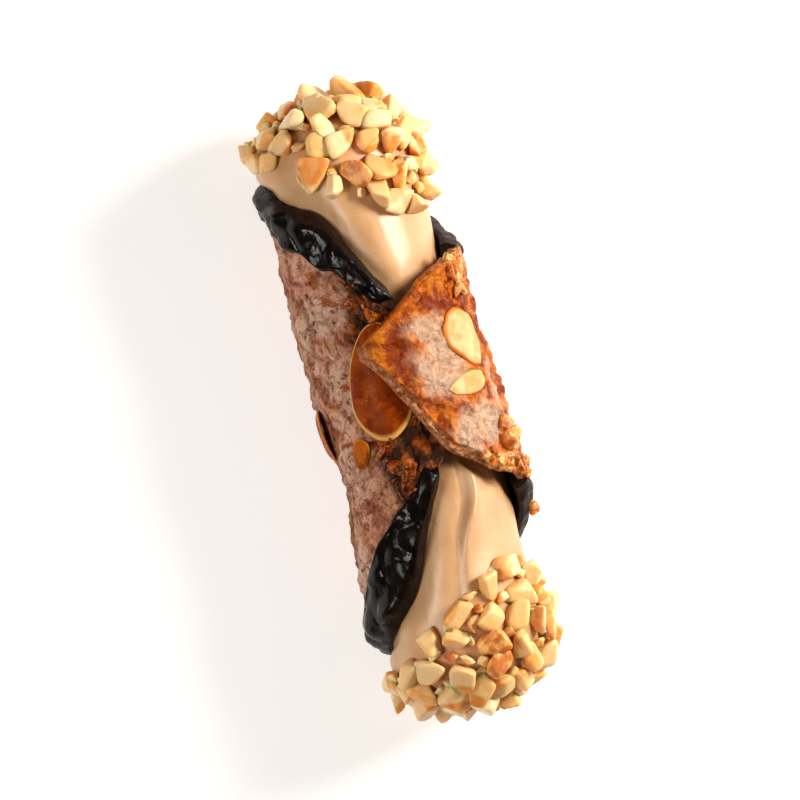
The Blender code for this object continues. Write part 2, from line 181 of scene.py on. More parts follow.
def cells(places, size, seed=0):
    """For each place: the distances of the two nearest cell middles, in sizes, and a number in 0..1 for its cell."""
    flat = (places / size + 31.7 * seed).reshape(-1, 3)
    found = [noise.voronoi(p) for p in flat.tolist()]
    near = np.array([d[0] for d, _ in found]).reshape(places.shape[:-1])
    next_near = np.array([d[1] for d, _ in found]).reshape(places.shape[:-1])
    middles = np.array([tuple(m[0]) for _, m in found])
    tone = (np.abs(np.sin(middles @ (12.9898, 78.233, 37.719)) * 43758.5453) % 1.0).reshape(places.shape[:-1])
    return near, next_near, tone


def around(x, radius, angle):
    """The point at a distance along the axis, a radius and an angle in degrees from straight up, towards +Y."""
    turn = np.radians(angle)
    return spots(x, radius * np.sin(turn), AXIS_HEIGHT + radius * np.cos(turn))


# ---------------------------------------------------------------- meshes


def build(name, points, faces, attributes, material, node=None, slot=None):
    """Makes a piece of points in mm, faces as rows of point numbers, and numbers kept on the points."""
    mesh = bpy.data.meshes.new(name)
    placed = (np.asarray(points, float).reshape(-1, 3) + AXIS_PLACE) * MM
    mesh.from_pydata(placed.tolist(), [], [tuple(f) for f in faces])
    for key, values in attributes.items():
        layer = mesh.attributes.new(key, "FLOAT", "POINT")
        layer.data.foreach_set("value", np.asarray(values, np.float32).ravel())
    mesh.validate()
    mesh.shade_smooth()
    mesh.materials.append(material)
    obj = bpy.data.objects.new(name, mesh)
    bpy.context.scene.collection.objects.link(obj)
    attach(obj, "root")
    if node:
        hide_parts(*node)
    return obj


def grid_faces(rows, columns, first=0, flipped=False, closed=True):
    """Quads over a grid of points, row after row, each row closed on itself if asked."""
    i, j = np.meshgrid(np.arange(rows - 1), np.arange(columns if closed else columns - 1), indexing="ij")
    k = (j + 1) % columns
    quads = np.stack([i * columns + j, i * columns + k, (i + 1) * columns + k, (i + 1) * columns + j], axis=-1)
    quads = quads.reshape(-1, 4) + first
    return (quads[:, ::-1] if flipped else quads).tolist()


def tube(name, rings, attributes, material, flipped=False, **says):
    """A closed piece: quads between rings of points, and a face over each end."""
    rows, columns = rings.shape[:2]
    faces = grid_faces(rows, columns, flipped=flipped)
    low, high = list(range(columns)), list(range((rows - 1) * columns, rows * columns))
    faces += [low if flipped else low[::-1], high[::-1] if flipped else high]
    return build(name, rings, faces, attributes, material, **says)


# ---------------------------------------------------------------- the rolled sheet


def left_rim(rolled):
    return through([(r, left) for r, left, _ in SHEET_OUTLINE], rolled)


def right_rim(rolled):
    return through([(r, right) for r, _, right in SHEET_OUTLINE], rolled)


def roll_radius(rolled, x):
    turn = np.radians(ROLL_START - rolled)
    near_end = ease((np.abs(x) - 14) / 32)
    taper = 1.6 * np.maximum(0, -np.cos(turn)) ** 2
    flare = 1.0 * np.maximum(0, -np.sin(turn)) ** 2 * np.where(x > 0, 1.0, 0.4)
    by_flap = ease((rolled - 265) / 50) * ease((390 - rolled) / 50)
    skew = 0.7 * by_flap * np.sin(np.clip(x / 24, -1, 1) * np.pi / 2)
    pinch = sum(deep * bell(x - middle, reach) for middle, reach, deep in PINCHES) * bell(rolled - 140, 34)
    return through(ROLL_RADII, rolled) + near_end * (flare - taper) + skew - pinch


def sheet_place(rolled, x):
    """A place on the sheet laid flat, for noise that follows it."""
    return spots(x, np.radians(rolled) * 18.0)


def from_rims(rolled, x):
    return np.minimum(x - left_rim(rolled), right_rim(rolled) - x)


def coat_band(rolled, x):
    """How far from the rim the chocolate reaches, with its uneven border."""
    along = spots(np.sign(x) * 40, np.radians(rolled) * 18.0)
    uneven = 1 + 0.16 * ripples(along, 9, 3)
    left = through([(r, band) for r, band, _ in COAT_BANDS], rolled)
    right = through([(r, band) for r, _, band in COAT_BANDS], rolled)
    return np.where(x > 0, right, left) * uneven + 1.5 * ripples(along, 3.6, 5)


def coated(rolled, x):
    """How deep under the chocolate a place on the wafer is, in mm from its border. Negative outside."""
    inside = coat_band(rolled, x) - from_rims(rolled, x)
    ends = np.minimum(rolled - COAT_START, COAT_END - rolled) * 0.31
    return np.minimum(inside, ends)


def flap_share(rolled):
    return ease((rolled - 318) / 14)


def from_cut(rolled, x):
    """How far in from the flap's lower edge and its tip, straight across the sheet, in mm."""
    step = 0.5
    slope = (right_rim(rolled + step) - right_rim(rolled - step)) / (2 * step * 0.36)
    across = (right_rim(rolled) - x) / np.sqrt(1 + slope**2)
    return np.minimum(across, (ROLL_TURN - rolled) * 0.36)


def ledge(rolled, x):
    """The strip along the flap's lower edge where the glazed top has broken back from the layer under it."""
    wide = 1.7 * ease((rolled - 345) / 50) + 0.35 * ripples(sheet_place(rolled, x), 3.0, 61)
    return (1 - ease((from_cut(rolled, x) - wide) / 0.55)) * ease((rolled - 340) / 12)


# Where sugar has set on the flap, and where its glaze is deep: (x, rolled, reach along x, reach in degrees, how much)
FROSTED = (
    (-4.3, 388, 6.5, 17, 1.0),
    (-12.4, 393, 3.2, 12, 0.95),
    (8.5, 368, 5.5, 13, 1.0),
    (10.5, 384, 5.5, 10, 1.0),
    (2.0, 348, 7.0, 10, 0.5),
)
DEEP = (
    (-10.0, 411, 4.5, 9, 1.0),
    (-7.0, 428, 3.0, 7, 0.8),
    (17.5, 392, 4.0, 5, 0.8),
    (-4.0, 410, 3.0, 4, 0.6),
    (8.0, 398, 3.5, 5, 1.0),
    (-15.5, 356, 3.5, 9, 0.9),
    (-17.0, 388, 2.0, 6, 0.7),
    (3.0, 376, 2.0, 3, 0.5),
    (15.0, 380, 2.0, 6, 0.8),
    (15.5, 62, 7.0, 12, 0.9),
    (-17.5, 64, 3.5, 7, 0.9),
)


def patches(places, rolled, x):
    """How far a place is inside the nearest of some soft-edged patches, 0 to 1."""
    found = [much * bell(np.hypot((x - at_x) / long, (rolled - at_roll) / wide), 1.0)
             for at_x, at_roll, long, wide, much in places]
    return np.max(found, axis=0)


HOLLOWS = ((-16.6, 68, 2.4, 5.5, 1.1), (13.2, 76.5, 3.6, 5.5, 1.1), (8.5, 64, 2.2, 4, 0.7), (-12.5, 55, 2.0, 4, 0.6))


def hollows(rolled, x):
    """Gaps sunk into the glaze by the mouths' notches, which the paint darkens with painted shade."""
    return sum(deep * bell(np.hypot((x - at_x) / long, (rolled - at_roll) / wide), 1.0)
               for at_x, at_roll, long, wide, deep in HOLLOWS)


def glazed(rolled, x):
    """Where the open part of the wafer is wet with caramel: along the seam."""
    place = sheet_place(rolled, x)
    edge = 80 + 9 * ripples(place, 7, 62) + 5 * ripples(place, 2.5, 63)
    return ease((edge - rolled) / 6) * (rolled < 200)


def swells(rolled, x):
    """The wafer's broad unevenness, which the flakes lie on."""
    place = sheet_place(rolled, x)
    resting = ease((1 + np.cos(np.radians(ROLL_START - rolled))) / 0.12)
    lapped = ease((rolled - 50) / 40)
    lump = -0.45 - 0.45 * ripples(spots(place[..., 0], place[..., 1]), 7.0)
    fade = ease((from_rims(rolled, x) - 2) / 4)
    return lump * lapped * resting * fade


def under_flakes(rolled, x):
    """1 where a flake lies on the wafer, 0 away from them."""
    covered = []
    for at_x, at_roll, turn, length, width, *_ in FLAKES.values():
        arc = np.radians(rolled - at_roll) * 18.0
        along = (x - at_x) * math.cos(math.radians(turn)) + arc * math.sin(math.radians(turn))
        across = arc * math.cos(math.radians(turn)) - (x - at_x) * math.sin(math.radians(turn))
        covered.append(ease((1.2 - np.hypot(along / length, across / width) * 2) / 0.2))
    return np.max(covered, axis=0)


def relief(rolled, x):
    """How far the wafer's outer face stands out, and what its looks follow."""
    place = sheet_place(rolled, x)
    flap = flap_share(rolled)
    resting = ease((1 + np.cos(np.radians(ROLL_START - rolled))) / 0.1)
    bent = place + 0.7 * spots(ripples(place, 2.4, 51), ripples(place, 2.4, 52))
    near, beyond, tone = cells(bent, 4.4, 1)
    chunk = np.clip(1 - (near / 0.66) ** 2, 0, 1) * ease((tone - 0.3) / 0.3)
    near_small, _, tone_small = cells(bent, 2.3, 2)
    grit = np.clip(1 - (near_small / 0.6) ** 2, 0, 1) * ease((tone_small - 0.5) / 0.2)
    crack = ease((0.13 - (beyond - near)) / 0.13) * ease((ripples(place, 8, 53) + 0.05) / 0.25)
    pit_near, _, pit_tone = cells(place * (0.7, 1.2, 1), 1.5, 4)
    pits = ease((0.4 - pit_near) / 0.25) * ease((pit_tone - 0.45) / 0.2) * ease((ripples(place, 6, 54) + 0.3) / 0.4)
    height = swells(rolled, x)
    height = height + resting * (0.5 * chunk * (0.4 + tone) + 0.4 * grit)
    height = height - resting * (0.28 * crack + 0.34 * pits) * (1 - 0.75 * flap)
    height = height + resting * (0.3 * layered(place, 3.4, 2, 55) + 0.2 * layered(place, 1.2, 2, 9))
    near_nut, _, nut_tone = cells(bent, 3.6, 7)
    knob = np.clip(1 - (near_nut / 0.7) ** 2, 0, 1) * (0.4 + nut_tone)
    by_upper_edge = ease((7.5 - (x - left_rim(rolled))) / 3) + ease((4 - from_cut(rolled, x)) / 3) * 0.5
    height = height + resting * flap * (1.0 * ripples(place, 3.8, 56) + 0.45 * layered(bent, 1.7, 2, 57) + 0.85 * knob * np.minimum(by_upper_edge, 1))
    height = swells(rolled, x) + (height - swells(rolled, x)) * (1 - 0.9 * under_flakes(rolled, x))
    height = np.where(height > 0.4, 0.4 + 0.5 * np.tanh((height - 0.4) / 0.5), height)
    under = ease(coated(rolled, x) / 0.8 + 0.4)
    lapped = ease((rolled - 40) / 30)
    cut, gaps = ledge(rolled, x), hollows(rolled, x)
    torn = 0.55 * layered(place, 1.7, 2, 64) * cut
    height = (height * (1 - 0.6 * cut) - gaps + torn) * lapped - 0.8 * cut
    height = height * (1 - under) - 0.45 * under
    looks = {
        "chunk": chunk * (1 - under),
        # the pits, cracks and hollows, which the paint darkens with painted shade
        "pits": np.clip(np.maximum(pits, 0.6 * crack) + 1.3 * gaps, 0, 1) * (1 - under),
        "cut": cut,
        "wet": glazed(rolled, x),
        # painted shade: the wafer darkened round its sides and underside, where it turns away from the lamps
        "painted_side_shade": 0.4 * ease((rolled - 118) / 30) * ease((330 - rolled) / 20),
        "frost": patches(FROSTED, rolled, x),
        "deep": patches(DEEP, rolled, x),
    }
    return height, looks


def stations(*runs):
    """Numbers from one to the next, closer together where the step is smaller: (start, step), ..., (end,)."""
    found = []
    for (start, step), (end, *_) in zip(runs, runs[1:]):
        count = max(1, round((end - start) / step))
        found += list(np.linspace(start, end, count, endpoint=False))
    return np.array(found + [runs[-1][0]])


def make_wafer(material):
    rolled = stations((0, 4), (36, 0.95), (150, 2.2), (320, 1.0), (432, 0.5), (434,))
    outer_count, rim_count, inner_count = 250, 10, 20
    ragged_left = 0.5 * layered(spots(np.radians(rolled) * 18, 7), 3.0, 3, 11)
    ragged_right = 0.5 * layered(spots(np.radians(rolled) * 18, 90), 3.0, 3, 12)
    left, right = left_rim(rolled) + ragged_left, right_rim(rolled) + ragged_right
    slant_right = 0.3 + 0.7 * ease((rolled - 335) / 15) * ease((436 - rolled) / 8)
    slant_left = 0.3 + 0.3 * ease((rolled - 335) / 15)
    width = right - left
    slant_right, slant_left = np.minimum(slant_right, width / 4), np.minimum(slant_left, width / 4)
    thin = 0.9 * (1 - ease((ROLL_TURN - rolled) / 2.2))
    values = {"chunk": [], "pits": [], "cut": [], "wet": [], "painted_side_shade": [], "frost": [], "deep": [], "rim": []}
    share = np.linspace(0, 1, outer_count)
    x = (left + slant_left)[:, None] + (width - slant_left - slant_right)[:, None] * share
    turn = np.repeat(rolled[:, None], outer_count, axis=1)
    height, looks = relief(turn, x)
    edge = np.minimum(share, 1 - share) * width[:, None]
    height = height - 0.35 * (1 - ease(edge / 0.7)) - thin[:, None]
    outer = (x, roll_radius(turn, x) + height, turn)
    rim_share = (np.arange(rim_count) + 1) / (rim_count + 1)
    inner_share = np.linspace(0, 1, inner_count)
    pieces = [outer]
    for key, found in looks.items():
        values[key].append(found)
    values["rim"].append(edge)
    inner_depth = -(THICKNESS - thin)[:, None]

    def side_wall(x_top, x_low, top_depth, sign, salt):
        turn = np.repeat(rolled[:, None], rim_count, axis=1)
        spread = np.sin(rim_share * np.pi) * 0.25
        rough = 0.28 * layered(spots(np.radians(turn) * 18, rim_share * 4 + salt), 1.5, 2, 13)
        x = x_top[:, None] + (x_low - x_top)[:, None] * rim_share + sign * (spread + rough * np.sin(rim_share * np.pi))
        depth = top_depth[:, None] + (inner_depth - top_depth[:, None]) * rim_share
        return x, roll_radius(turn, x) + depth, turn

    right_wall = side_wall(x[:, -1], right, height[:, -1], 1, 30)
    left_wall = side_wall(x[:, 0], left, height[:, 0], -1, 60)
    inner_x = right[:, None] + (left - right)[:, None] * inner_share
    inner_turn = np.repeat(rolled[:, None], inner_count, axis=1)
    inner = (inner_x, roll_radius(inner_turn, inner_x) + inner_depth, inner_turn)
    pieces += [right_wall, inner, tuple(part[:, ::-1] for part in left_wall)]
    run_over = 1 - ease((rolled - 340) / 20) * ease((436 - rolled) / 6)
    for count, cut in ((rim_count, np.ones_like(rolled)), (inner_count, np.ones_like(rolled)), (rim_count, run_over)):
        for key, parts in values.items():
            parts.append(np.repeat((cut if key == "cut" else 0.0 * cut)[:, None], count, axis=1))
    rings = np.concatenate([around(x, radius, ROLL_START - turn) for x, radius, turn in pieces], axis=1)
    rings[..., 2] = np.maximum(rings[..., 2], 0.0)
    attributes = {key: np.concatenate(parts, axis=1) for key, parts in values.items()}
    attributes["flap"] = np.repeat(flap_share(rolled)[:, None], rings.shape[1], axis=1)
    tube("wafer_shell", rings, attributes, material, node=["shell"], slot="wafer")


# ---------------------------------------------------------------- chocolate


def coat_profile(band, bulge):
    """The coat around a rim as (distance in from the rim, depth, lip) points, closed through the wafer's thickness."""
    return (
        (band + 0.25, -0.9, 0),
        (band + 0.1, -0.25, 0),
        (band - 0.15, 0.2 * bulge, 0),
        (band - 0.6, 0.7 * bulge, 0),
        (band * 0.62, bulge, 0),
        (band * 0.3, bulge * 1.05, 0),
        (1.3, bulge * 0.95, 0),
        (0.4, bulge * 0.5, 0.1),
        (-0.3, -0.35, 0.8),
        (-0.9, -1.4, 1),
        (-NOSE - 0.1, -2.4, 1),
        (-1.1, -3.4, 1),
        (0.6, -3.7, 1),
        (4.0, -3.45, 1),
        (6.0, -2.9, 1),
        (6.0, -1.4, 0),
        (band + 0.2, -1.4, 0),
    )


def make_coats(material):
    rolled = np.linspace(COAT_START, COAT_END, 560)
    count = 84
    points, faces, lips = [], [], []
    for side in (-1, 1):
        rim = right_rim(rolled) if side > 0 else -left_rim(rolled)
        ends = ease((rolled - COAT_START) / 10) * ease((COAT_END - rolled) / 12)
        band = np.maximum(coat_band(rolled, side * rim), 1.2)
        band = band * (0.35 + 0.65 * ends)
        under = np.maximum(0, -np.cos(np.radians(ROLL_START - rolled))) ** 2
        bulge = (0.25 + 0.85 * ends) * (1 - 0.55 * under) * (1 - 0.5 * ease((rolled - 285) / 25))
        profiles = np.array([coat_profile(b, h) for b, h in zip(band, bulge)])
        steps = np.linalg.norm(np.diff(profiles[:, :, :2], axis=1), axis=2)
        lengths = np.concatenate([np.zeros((len(rolled), 1)), np.cumsum(steps, axis=1)], axis=1)
        rows = []
        for profile, length in zip(profiles, lengths):
            at = np.linspace(0, length[-1], count)
            rows.append([np.interp(at, length, profile[:, k]) for k in range(3)])
        along, depth, lip = np.array(rows).transpose(1, 0, 2)
        turn = np.repeat(rolled[:, None], count, axis=1)
        x = side * (rim[:, None] - along)
        place = spots(x, np.radians(turn) * 18, depth)
        near, _, tone = cells(place, 5.4, 6)
        blob = np.clip(1 - (near / 0.72) ** 2, 0, 1) * (0.3 + 0.7 * tone)
        outside = ease((depth + 1.2) / 1.0) * ease((band[:, None] - along) / 1.4)
        lumps = 0.7 * ripples(place, 4.2, 8) + 1.2 * blob - 0.45
        depth = depth + outside * lumps * (1 - 0.6 * under)[:, None] * (0.3 + 0.7 * ends)[:, None]
        wave = 0.3 * ripples(place, 4.0, 14)
        depth = depth + wave * (lip > 0.5) * (along < 1)
        x = x + side * (0.35 * layered(place, 4.5, 2, 15) + 0.3 * blob) * ease((1.5 - along) / 2) * (along < 1.5)
        ring = around(x, roll_radius(turn, x) + depth, ROLL_START - turn)
        ring[..., 2] = np.maximum(ring[..., 2], 0.15)
        first = len(points) * rolled.size * count
        faces += grid_faces(len(rolled), count, first, flipped=side < 0)
        low = list(range(first, first + count))
        high = list(range(first + (len(rolled) - 1) * count, first + len(rolled) * count))
        faces += [low if side < 0 else low[::-1], high[::-1] if side < 0 else high]
        points.append(ring)
        lips.append(lip)
    attributes = {"lip": np.stack(lips)}
    build("chocolate_coats", np.stack(points), faces, attributes, material, node=["chocolate"], slot="dark_chocolate")


# ---------------------------------------------------------------- cream


def rolled_at(angle):
    return ROLL_START - SEAM_ANGLE + (SEAM_ANGLE - angle) % 360


def covered_radius(rolled, x):
    step_in = ease((rolled - 308) / 30)
    outer = roll_radius(rolled, x) * (1 - step_in) + roll_radius(48.0, x) * step_in
    return outer - THICKNESS - LINING - 0.69


def fold(angle, x):
    """The fold that the piping left in the right mouth's cream: a crest along a line, easing off away from it."""
    away = np.radians(angle - through(FOLD_LINE, x)) * SWELL_RADIUS
    beyond = np.maximum(away, 0)
    steep = ease((away + 2.0) / 2.2)
    crest = steep * (0.95 * bell(beyond, 2.6) * ease((36 - x) / 12) + 0.6 * np.exp(-beyond / 9))
    return 1.55 * crest * ease((x - 9) / 4) * ease((47 - x) / 9) * (np.abs(angle) < 100)


def cream_radius(angle, x):
    rolled = rolled_at(angle)
    past_rim = np.where(x > 0, x - right_rim(rolled), left_rim(rolled) - x)
    at_seam = np.maximum(0, np.cos(np.radians(angle - SEAM_ANGLE)))
    run = SWELL_RUNS[0] * (1 - at_seam) + SWELL_RUNS[1] * at_seam
    under_flap = 5.0 * ease((rolled - 328) / 26)
    out = ease((past_rim - NOSE - 0.3 + under_flap) / run)
    turn = np.radians(angle)
    swollen = SWELL_RADIUS - 1.1 * np.sin(turn) - 1.9 * np.maximum(0, -np.cos(turn)) ** 2
    covered = covered_radius(rolled, x)
    return covered + (swollen - covered) * out


def softened(grid, rounds):
    """Rows of numbers averaged with their neighbours, each row closed on itself."""
    for _ in range(rounds):
        grid = 0.5 * grid + 0.25 * (np.roll(grid, 1, axis=1) + np.roll(grid, -1, axis=1))
        grid[1:-1] = 0.5 * grid[1:-1] + 0.25 * (grid[2:] + grid[:-2])
    return grid


def cream_detail(angle, x):
    """What the solid leaves out of the cream's surface: slow waves and two places where it was pushed out."""
    wrapped = spots(x, 16 * np.sin(np.radians(angle)), 16 * np.cos(np.radians(angle)))
    waves = 0.22 * ripples(wrapped * (0.5, 1, 1), 7, 21) + 0.05 * ripples(wrapped * (0.3, 1, 1), 1.6, 22)
    pushed = 1.0 * bell(np.hypot((angle + 55) * 0.28, x + 45.5), 4.5)
    return waves + pushed + 0.9 * bell(np.hypot((angle + 48) * 0.28, x - 43), 4.5)


def dome_foot(angle):
    return through([(a, foot) for a, foot, _ in END_OUTLINE], angle)


def nut_edge(angle):
    return through([(a, edge) for a, _, edge in END_OUTLINE], angle)


def dome_point(angle, side, run, extra=0.0):
    turn = np.radians(90 * run)
    along = np.cos(turn) ** (2 / DOME_POWER)
    across = np.sin(turn) ** (2 / DOME_POWER)
    foot = dome_foot(angle)
    base = cream_radius(angle, side * foot)
    return around(side * (foot + (DOME_TIP + extra - foot) * along), (base + extra) * across, angle)


def crust_point(angle, side, run, extra=0.0):
    """A point on the nut-covered end: run is 0 at the tip, 1 at the foot of the dome, 2 at the crust's edge."""
    foot, edge = dome_foot(angle), nut_edge(angle)
    x = side * (foot + (edge - foot) * (run - 1))
    column = around(x, cream_radius(angle, x) + extra, angle)
    domed = dome_point(angle, side, np.minimum(run, 1.0), extra)
    return np.where(np.asarray(run)[..., None] <= 1, domed, column)


def make_cream(material):
    angles = np.linspace(-180, 180, 240, endpoint=False)
    halves = []
    for side in (-1, 1):
        foot = dome_foot(angles)
        rings = []
        for run in np.linspace(0.04, 1.0, 26, endpoint=False):
            point = dome_point(angles, side, run)
            rings.append(point)
        share = np.linspace(0, 1, 120, endpoint=side < 0)[:, None]
        x = side * foot * (1 - share)
        turn = angles + 0 * x
        radius = cream_radius(turn, x)
        radius = radius + (softened(radius, 40) - radius) * ease(share / 0.12)
        past_rim = np.where(x > 0, x - right_rim(rolled_at(turn)), left_rim(rolled_at(turn)) - x)
        seen = ease((past_rim + 1) / 4)
        radius = radius + (cream_detail(turn, x) + fold(turn, x)) * ease(share / 0.1) * seen
        rings += list(around(x, radius, turn))
        halves.append(rings)
    rings = np.array(halves[0] + halves[1][::-1])
    rings[..., 2] = np.maximum(rings[..., 2], 0.3)
    tube("cream_filling", rings, {}, material, flipped=True, node=["cream"], slot="hazelnut_cream")


# ---------------------------------------------------------------- nuts


def ends_at_foot(angle):
    return dome_foot(angle) - nut_edge(angle) < 2


def scatter_nuts(side, seed):
    """The nuts' places, the same as in their solid: (angle, run, size) of each."""
    draw = random.Random(seed)
    found, middles = [], []
    for _ in range(NUT_TRIES):
        angle = draw.uniform(-180, 180)
        run = draw.uniform(0.04, 0.86 if ends_at_foot(angle) else 1.85)
        size = draw.uniform(0.85, 1.2)
        middle = crust_point(angle, side, run, NUT_RISE)
        clear = NUT_SPACING * (0.55 + 0.4 * size)
        if all(np.linalg.norm(middle - other) > clear for other in middles):
            found.append((angle, run, size))
            middles.append(middle)
    return found


def ball(steps):
    """A sphere's points and triangles, evenly spread."""
    bm = bmesh.new()
    bmesh.ops.create_icosphere(bm, subdivisions=steps, radius=1.0)
    points = np.array([v.co for v in bm.verts])
    faces = np.array([[v.index for v in f.verts] for f in bm.faces])
    bm.free()
    return points, faces


def unit(vector):
    return vector / np.linalg.norm(vector)


def any_way(draw):
    return unit(np.array([draw.gauss(0, 1) for _ in range(3)]))


class Stones:
    """Broken pieces, gathered into one mesh. Each is a ball pared down by planes, its edges slightly rounded."""

    def __init__(self, detail, seed):
        self.ways, self.triangles = ball(detail)
        self.draw = random.Random(seed)
        self.points, self.faces = [], []
        self.looks = {"tone": [], "skin_and_shade": [], "toast": []}

    def planes(self, halves, axes, slants):
        """The cuts along a piece's length, width and thickness, and some slanting ones."""
        draw = self.draw
        found = []
        for axis, half in zip(axes, halves):
            for sign in (-1, 1):
                tilt = sum(a * draw.uniform(-0.42, 0.42) for a in axes)
                found.append((unit(sign * axis + tilt), half * draw.uniform(0.72, 1.08)))
        for _ in range(slants):
            way = any_way(draw)
            across = 1 / math.sqrt(sum((way @ axis / half) ** 2 for axis, half in zip(axes, halves)))
            found.append((way, across * draw.uniform(0.72, 1.1)))
        return found

    def add(self, middle, up, halves, beside=(), sharpness=9, roughness=0.09, along=None, toast=None, outward=None):
        """One piece. Beside are the middles of its neighbours, which it doesn't pass."""
        draw, ways = self.draw, self.ways
        first = unit(np.cross(up, any_way(draw) if along is None else np.cross(along, up)))
        axes = (first, np.cross(up, first), up)
        planes = self.planes(halves, axes, 3)
        for other in beside:
            away = other - middle
            gap = np.linalg.norm(away)
            planes.append((away / gap, max(gap / 2 + 0.5, 1.9)))
        load = np.stack([np.maximum(ways @ way / distance, 0) for way, distance in planes])
        reach = (load**sharpness).sum(axis=0) ** (-1 / sharpness)
        natural = unit(axes[draw.randrange(3)] * draw.choice((-1, 1)) + 0.4 * any_way(draw))
        facing = ways @ natural
        if draw.random() < 0.3:
            curve = np.mean(halves) * draw.uniform(1.1, 1.35)
            rounder = (reach**-8 + curve**-8) ** (-1 / 8)
            reach = reach + (rounder - reach) * ease(facing / 0.4)
        reach = np.minimum(reach, 4.8)
        shape = ways * reach[:, None]
        rough = roughness * layered(shape + middle, 1.5, 3, 31)
        shape = shape * (1 + rough / np.maximum(reach, 1))[:, None]
        order = np.sort(load, axis=0)
        edge = 1 - np.clip((order[-1] - order[-2]) / np.maximum(order[-1], 1e-6) / 0.12, 0, 1)
        tone = draw.random()
        toast = draw.random() if toast is None else toast
        # The nut's skin on its natural face, golden along its edges, and painted shade on the undersides that face the
        # cream when outward is given
        skin_and_shade = ease((facing - 0.15) / 0.45) + 0.3 * edge
        if outward is not None:
            skin_and_shade = np.maximum(skin_and_shade, 0.85 * ease((0.3 - ways @ outward) / 0.9))
        self.looks["tone"] += [tone] * len(ways)
        self.looks["toast"] += [toast] * len(ways)
        self.looks["skin_and_shade"] += list(np.clip(skin_and_shade, 0, 1))
        self.faces.append(self.triangles + len(self.points) * len(ways))
        self.points.append(shape + middle)

    def build(self, name, material, **says):
        points = np.array(self.points).reshape(-1, 3)
        points[:, 2] = np.maximum(points[:, 2], 0.3)
        build(name, points, np.concatenate(self.faces).tolist(), self.looks, material, **says)


def make_nuts(name, side, material):
    """Real chopped nuts in the places of the solid's blocks, pressed against their neighbours, and crumbs between."""
    stones = Stones(4, NUT_SEEDS[name] + 500)
    draw = stones.draw
    places = scatter_nuts(side, NUT_SEEDS[name])
    middles = np.array([crust_point(angle, side, run, NUT_RISE) for angle, run, _ in places])
    for (angle, run, size), middle in zip(places, middles):
        normal = unit(crust_point(angle, side, run, NUT_RISE + 0.5) - middle)
        up = unit(normal + draw.uniform(0.2, 0.9) * any_way(draw))
        halves = [draw.uniform(*pair) * size for pair in ((2.8, 4.0), (1.8, 2.7), (1.4, 2.2))]
        gaps = np.linalg.norm(middles - middle, axis=1)
        beside = middles[(gaps > 0) & (gaps < 9)]
        stones.add(middle, up, halves, beside, outward=normal)
    crumbs = []
    for _ in range(900):
        angle = draw.uniform(-180, 180)
        run = draw.uniform(0.05, 0.88 if ends_at_foot(angle) else 1.9)
        middle = crust_point(angle, side, run, 0.9)
        clear = min(np.linalg.norm(middles - middle, axis=1))
        if clear > 2.9 and all(np.linalg.norm(middle - other) > 2.4 for other in crumbs):
            crumbs.append(middle)
            normal = unit(crust_point(angle, side, run, 1.4) - middle)
            up = unit(normal + 0.6 * any_way(draw))
            halves = [draw.uniform(1.0, 1.7), draw.uniform(0.8, 1.2), draw.uniform(0.6, 0.9)]
            stones.add(middle, up, halves, roughness=0.16, outward=normal)
    stones.build(name + "_chopped", material, node=[name], slot="chopped_nuts")


# Where baked nut pieces stand in the wafer: (x, rolled, spread in mm along x, spread in degrees, how many, half size)
BRITTLE = (
    (-23.6, 358, 2.2, 9, 9, 1.35),
    (-19.8, 356, 2.0, 5, 5, 1.2),
    (16.0, 372, 1.8, 7, 6, 1.3),
    (17.6, 358, 1.6, 8, 7, 1.3),
    (19.4, 345, 1.4, 7, 6, 1.2),
    (12.0, 354, 2.2, 6, 3, 2.0),
)
# Dark glazed bits by the mouths' notches
BITS = (
    (-21.0, 67, 3.5, 6, 4, 1.3),
    (-14.5, 57, 3.0, 5, 5, 0.8),
    (9.0, 78, 3.5, 5, 5, 1.4),
    (14.5, 68, 3.5, 8, 5, 1.1),
)
# Almond splinters on edge: (x, rolled, along x, along the roll in degrees, half length, half width, half height)
SPLINTERS = (
    (-18.6, 62.5, 6.1, -13.5, 2.9, 0.45, 0.9),
    (15.2, 69, 8.0, 14, 3.7, 0.55, 1.1),
    (9.0, 80, 5.0, 8, 2.2, 0.6, 0.7),
)


def sheet_stones(stones, clusters, rise, toast, shape, roughness):
    """Pieces set in the wafer's outer face, gathered around places."""
    draw = stones.draw
    for x, rolled, spread_x, spread_turn, count, half in clusters:
        placed = []
        for _ in range(count * 12):
            at_x = x + draw.uniform(-1, 1) * spread_x
            at_roll = rolled + draw.uniform(-1, 1) * spread_turn
            at_x = min(max(at_x, float(left_rim(at_roll)) + 0.6), float(right_rim(at_roll)) - 0.6)
            radius = roll_radius(at_roll, at_x) + swells(np.array(at_roll), np.array(at_x)) + rise
            middle = around(at_x, radius, ROLL_START - at_roll)
            if len(placed) < count and all(np.linalg.norm(middle - other) > half * 1.35 for other in placed):
                placed.append(middle)
                normal = unit(around(at_x, 1.0, ROLL_START - at_roll) - around(at_x, 0.0, ROLL_START - at_roll))
                up = unit(normal + 0.5 * any_way(draw))
                halves = [half * draw.uniform(*pair) for pair in shape]
                stones.add(middle, up, halves, roughness=roughness, toast=draw.uniform(*toast), sharpness=16)


